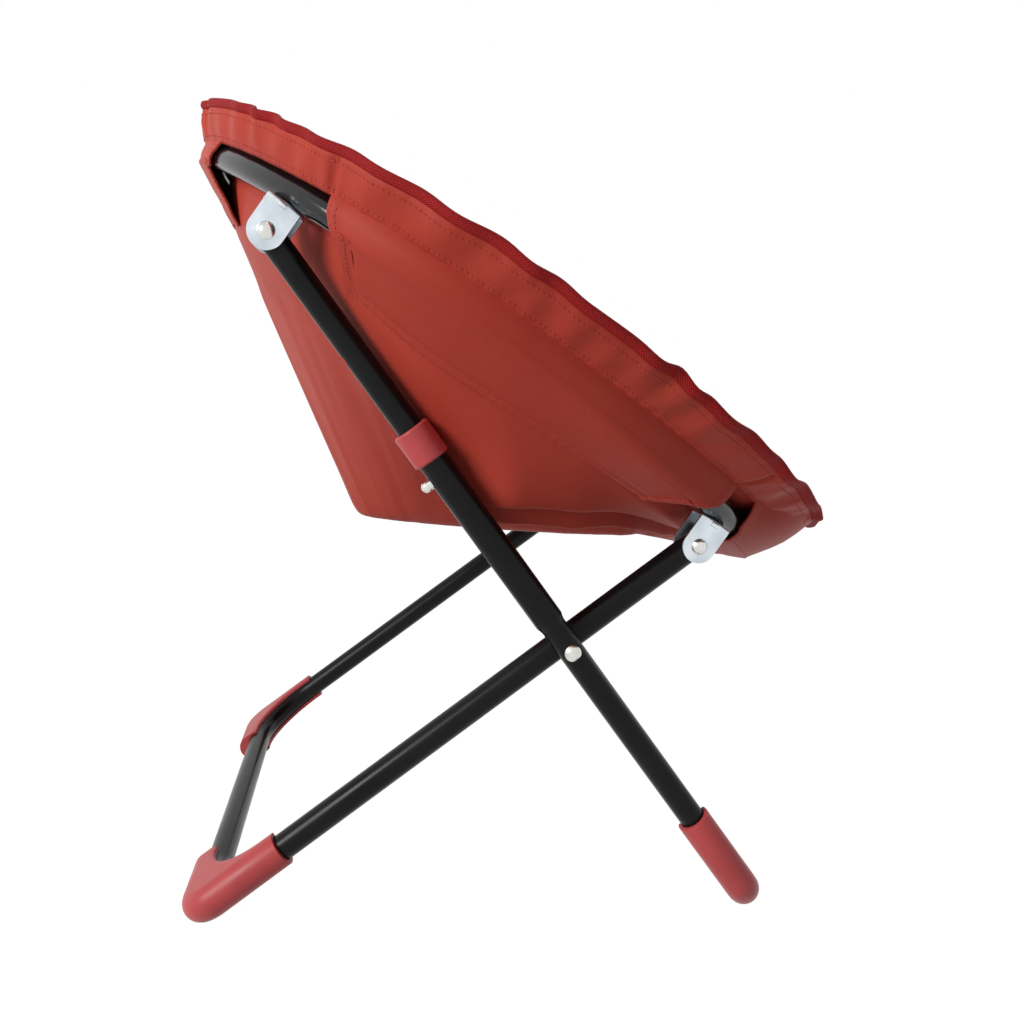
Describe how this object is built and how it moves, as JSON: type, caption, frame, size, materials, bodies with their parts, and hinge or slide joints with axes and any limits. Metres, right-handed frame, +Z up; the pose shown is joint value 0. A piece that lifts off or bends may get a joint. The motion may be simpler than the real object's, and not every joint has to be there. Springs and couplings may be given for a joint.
{
  "type": "kids folding saucer chair",
  "caption": "Low folding chair for a child: a tilted steel ring with a hanging cloth dish on two crossed tube frames with moulded corner feet and telescoping, button-locked legs.",
  "frame": {"origin": "on the floor under the middle of the chair", "axes": "+Z up, the sitter faces -Y, +X is the sitter's left"},
  "size_m": [0.5322, 0.4326, 0.492],
  "materials": {
    "black_tube": "gloss",
    "red_plastic": "satin",
    "black_plastic": "matt",
    "red_cloth": "matt",
    "red_tape": "matt",
    "zinc": "zinc plated",
    "nickel": "polished"
  },
  "bodies": {
    "rear_frame": {"rear_frame_tube": "black_tube", "rear_cap_left": "red_plastic", "rear_cap_right": "red_plastic", "rear_frame_end_plugs": "black_plastic", "cross_rivet_inner": "nickel", "cross_spacers": "black_plastic"},
    "seat": {"hoop_tube": "black_tube", "bracket_rear_left": "zinc", "bracket_rear_right": "zinc", "bracket_front_left": "zinc", "bracket_front_right": "zinc", "bracket_rivets": "nickel", "rear_pivot_rivets": "nickel", "front_pivot_rivets": "nickel", "seat_dish": "red_cloth", "pocket_back": "red_cloth", "pocket_front": "red_cloth", "pocket_left": "red_cloth", "pocket_right": "red_cloth", "rim_flange": "red_cloth", "edge_binding": "red_tape"},
    "upper_legs": {"upper_leg_left": "black_tube", "upper_leg_right": "black_tube", "upper_leg_end_plugs": "black_plastic", "lock_spring_left": "nickel", "lock_spring_right": "nickel"},
    "front_frame": {"front_frame_tube": "black_tube", "collar_left": "red_plastic", "collar_right": "red_plastic", "front_cap_left": "red_plastic", "front_cap_right": "red_plastic", "cross_rivet_outer": "nickel"},
    "button_left": {"lock_button_left": "nickel"},
    "button_right": {"lock_button_right": "nickel"}
  },
  "joints": [
    {"name": "seat_fold", "type": "hinge", "parent": "rear_frame", "child": "seat", "pos_m": [0, -0.0904, 0.22098], "axis": [-1, 0, 0], "range_deg": [0, 71.2], "deforming": ["seat_dish", "pocket_back", "pocket_front", "pocket_left", "pocket_right"]},
    {"name": "upper_leg_pivot", "type": "hinge", "parent": "seat", "child": "upper_legs", "pos_m": [0, 0.15153, 0.3948], "axis": [-1, 0, 0], "range_deg": [0, 19.03]},
    {"name": "leg_slide", "type": "slide", "parent": "upper_legs", "child": "front_frame", "axis": [0, 0.5779, 0.8161], "range_m": [0, 0.08112]},
    {"name": "lock_button_left", "type": "slide", "parent": "front_frame", "child": "button_left", "axis": [0, -0.8161, 0.5779], "range_m": [0, 0.0045], "stiffness_N_per_m": 600, "deforming": ["lock_spring_left"]},
    {"name": "lock_button_right", "type": "slide", "parent": "front_frame", "child": "button_right", "axis": [0, -0.8161, 0.5779], "range_m": [0, 0.0045], "stiffness_N_per_m": 600, "deforming": ["lock_spring_right"]}
  ],
  "couplings": [
    {"joint": "upper_leg_pivot", "follows": "seat_fold", "ratio": 0.2669},
    {"joint": "leg_slide", "follows": "seat_fold", "m_per_rad": 0.065268}
  ]
}
